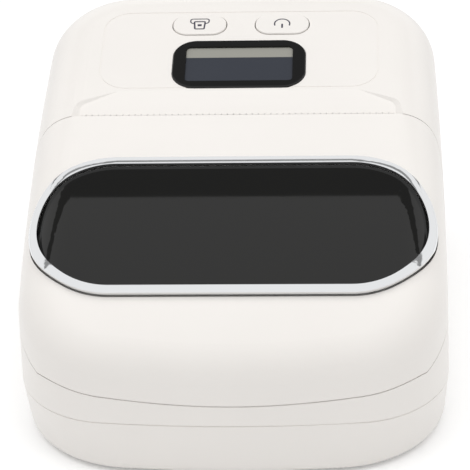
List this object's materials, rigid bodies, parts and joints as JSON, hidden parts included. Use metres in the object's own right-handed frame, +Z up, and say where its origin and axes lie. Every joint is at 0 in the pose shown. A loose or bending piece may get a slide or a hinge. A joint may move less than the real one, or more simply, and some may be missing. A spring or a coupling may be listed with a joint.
{
  "type": "portable label printer",
  "caption": "Compact label printer: hinged lid with an oval dark window and chrome ring, label slot with tear bar, sloping panel with display and two keys, working print mechanism inside.",
  "frame": {"origin": "centre of the printer's bounding box at the level of the feet", "axes": "+Z up, +X along its width to the right seen from the front, -Y towards its front edge, where the lid is hinged, +Y towards the panel and the charging socket"},
  "size_m": [0.108, 0.131, 0.0751],
  "materials": {
    "shell_plastic": "satin",
    "chrome_trim": "polished",
    "dark_window": "polished",
    "black_gloss": "polished",
    "display_glass": "polished",
    "key_plastic": "satin",
    "dark_plastic": "moulded",
    "white_nylon": "moulded",
    "steel": "plain",
    "brass_gear": "machined",
    "head_aluminium": "extruded",
    "ceramic": "glazed ceramic",
    "rubber_black": "matte",
    "foam": "foam",
    "pack_wrap": "shrink wrap",
    "board": "solder mask",
    "board_black": "moulded"
  },
  "bodies": {
    "base": {"upper_case": "shell_plastic", "bottom_case": "shell_plastic", "hinge_pins": "steel", "tear_bar": "steel", "display_bezel": "black_gloss", "display_lens": "display_glass", "display_module": "dark_plastic", "control_board": "board", "control_screws": "steel", "key_switches": "dark_plastic", "gear_posts": "steel", "mechanism_frame": "steel", "frame_screws": "steel", "stepper_motor": "steel", "motor_screws": "steel", "head_pin": "steel", "head_springs": "steel", "latch_pin": "steel", "latch_spring": "steel", "release_spring": "steel", "roll_cradle": "dark_plastic", "cradle_screws": "steel", "paper_sensor": "dark_plastic", "battery_pad": "foam", "battery_pack": "pack_wrap", "main_board": "board", "board_parts": "board_black", "board_screws": "steel", "usb_socket": "steel", "case_screws": "steel", "rubber_feet": "rubber_black"},
    "lid": {"lid_shell": "shell_plastic", "chrome_ring": "chrome_trim", "window_lens": "dark_window", "lid_frame": "dark_plastic", "platen_bushings": "white_nylon"},
    "platen": {"platen_shaft": "steel", "platen_roller": "rubber_black", "platen_gear": "white_nylon"},
    "idler": {"idler_gear": "white_nylon"},
    "reduction": {"reduction_gear": "white_nylon"},
    "motor_rotor": {"motor_pinion": "brass_gear"},
    "head": {"print_head": "head_aluminium", "head_element": "ceramic"},
    "latch": {"latch_bar": "steel"},
    "release_key": {"release_button": "shell_plastic"},
    "feed_key": {"feed_button": "key_plastic"},
    "power_key": {"power_button": "key_plastic"},
    "left_guide": {"left_roll_guide": "dark_plastic"},
    "right_guide": {"right_roll_guide": "dark_plastic"},
    "pinion": {"guide_pinion": "white_nylon"}
  },
  "joints": [
    {"name": "lid_hinge", "type": "hinge", "parent": "base", "child": "lid", "pos_m": [0, -0.0575, 0.012], "axis": [1, 0, 0], "range_deg": [0, 75]},
    {"name": "platen_spin", "type": "hinge", "parent": "lid", "child": "platen", "pos_m": [0.0459, -0.0005, 0.0515], "axis": [1, 0, 0], "continuous": true},
    {"name": "idler_spin", "type": "hinge", "parent": "base", "child": "idler", "pos_m": [0.0459, 0.00531, 0.04312], "axis": [1, 0, 0], "continuous": true},
    {"name": "reduction_spin", "type": "hinge", "parent": "base", "child": "reduction", "pos_m": [0.047, 0.0125, 0.03589], "axis": [1, 0, 0], "continuous": true},
    {"name": "motor_spin", "type": "hinge", "parent": "base", "child": "motor_rotor", "pos_m": [0.0482, 0.025, 0.0375], "axis": [1, 0, 0], "continuous": true},
    {"name": "head_tilt", "type": "hinge", "parent": "base", "child": "head", "pos_m": [0, 0.009, 0.0455], "axis": [-1, 0, 0], "range_deg": [0, 3], "stiffness_Nm_per_rad": 0.15, "springref_deg": -28.65, "deforming": ["head_springs"]},
    {"name": "release_press", "type": "slide", "parent": "base", "child": "release_key", "axis": [1, 0, 0], "range_m": [0, 0.002], "stiffness_N_per_m": 300, "springref_m": -0.002, "deforming": ["release_spring"]},
    {"name": "latch_turn", "type": "hinge", "parent": "base", "child": "latch", "pos_m": [0, 0.0126, 0.042], "axis": [-1, 0, 0], "range_deg": [0, 10.1], "deforming": ["latch_spring"]},
    {"name": "feed_press", "type": "slide", "parent": "base", "child": "feed_key", "axis": [0, 0.225, -0.9744], "range_m": [0, 0.0005], "stiffness_N_per_m": 1000, "springref_m": -0.0005},
    {"name": "power_press", "type": "slide", "parent": "base", "child": "power_key", "axis": [0, 0.225, -0.9744], "range_m": [0, 0.0005], "stiffness_N_per_m": 1000, "springref_m": -0.0005},
    {"name": "left_guide_slide", "type": "slide", "parent": "base", "child": "left_guide", "axis": [1, 0, 0], "range_m": [0, 0.03]},
    {"name": "right_guide_slide", "type": "slide", "parent": "base", "child": "right_guide", "axis": [1, 0, 0], "range_m": [-0.03, 0]},
    {"name": "guide_pinion_spin", "type": "hinge", "parent": "base", "child": "pinion", "pos_m": [0, -0.023, 0.0045], "axis": [0, 0, 1], "range_deg": [0, 430]}
  ],
  "couplings": [
    {"joint": "idler_spin", "follows": "platen_spin", "ratio": -0.7},
    {"joint": "reduction_spin", "follows": "platen_spin", "ratio": 1},
    {"joint": "motor_spin", "follows": "platen_spin", "ratio": -2.5},
    {"joint": "latch_turn", "follows": "release_press", "rad_per_m": 87.266},
    {"joint": "right_guide_slide", "follows": "left_guide_slide", "ratio": -1},
    {"joint": "guide_pinion_spin", "follows": "left_guide_slide", "rad_per_m": 250}
  ]
}
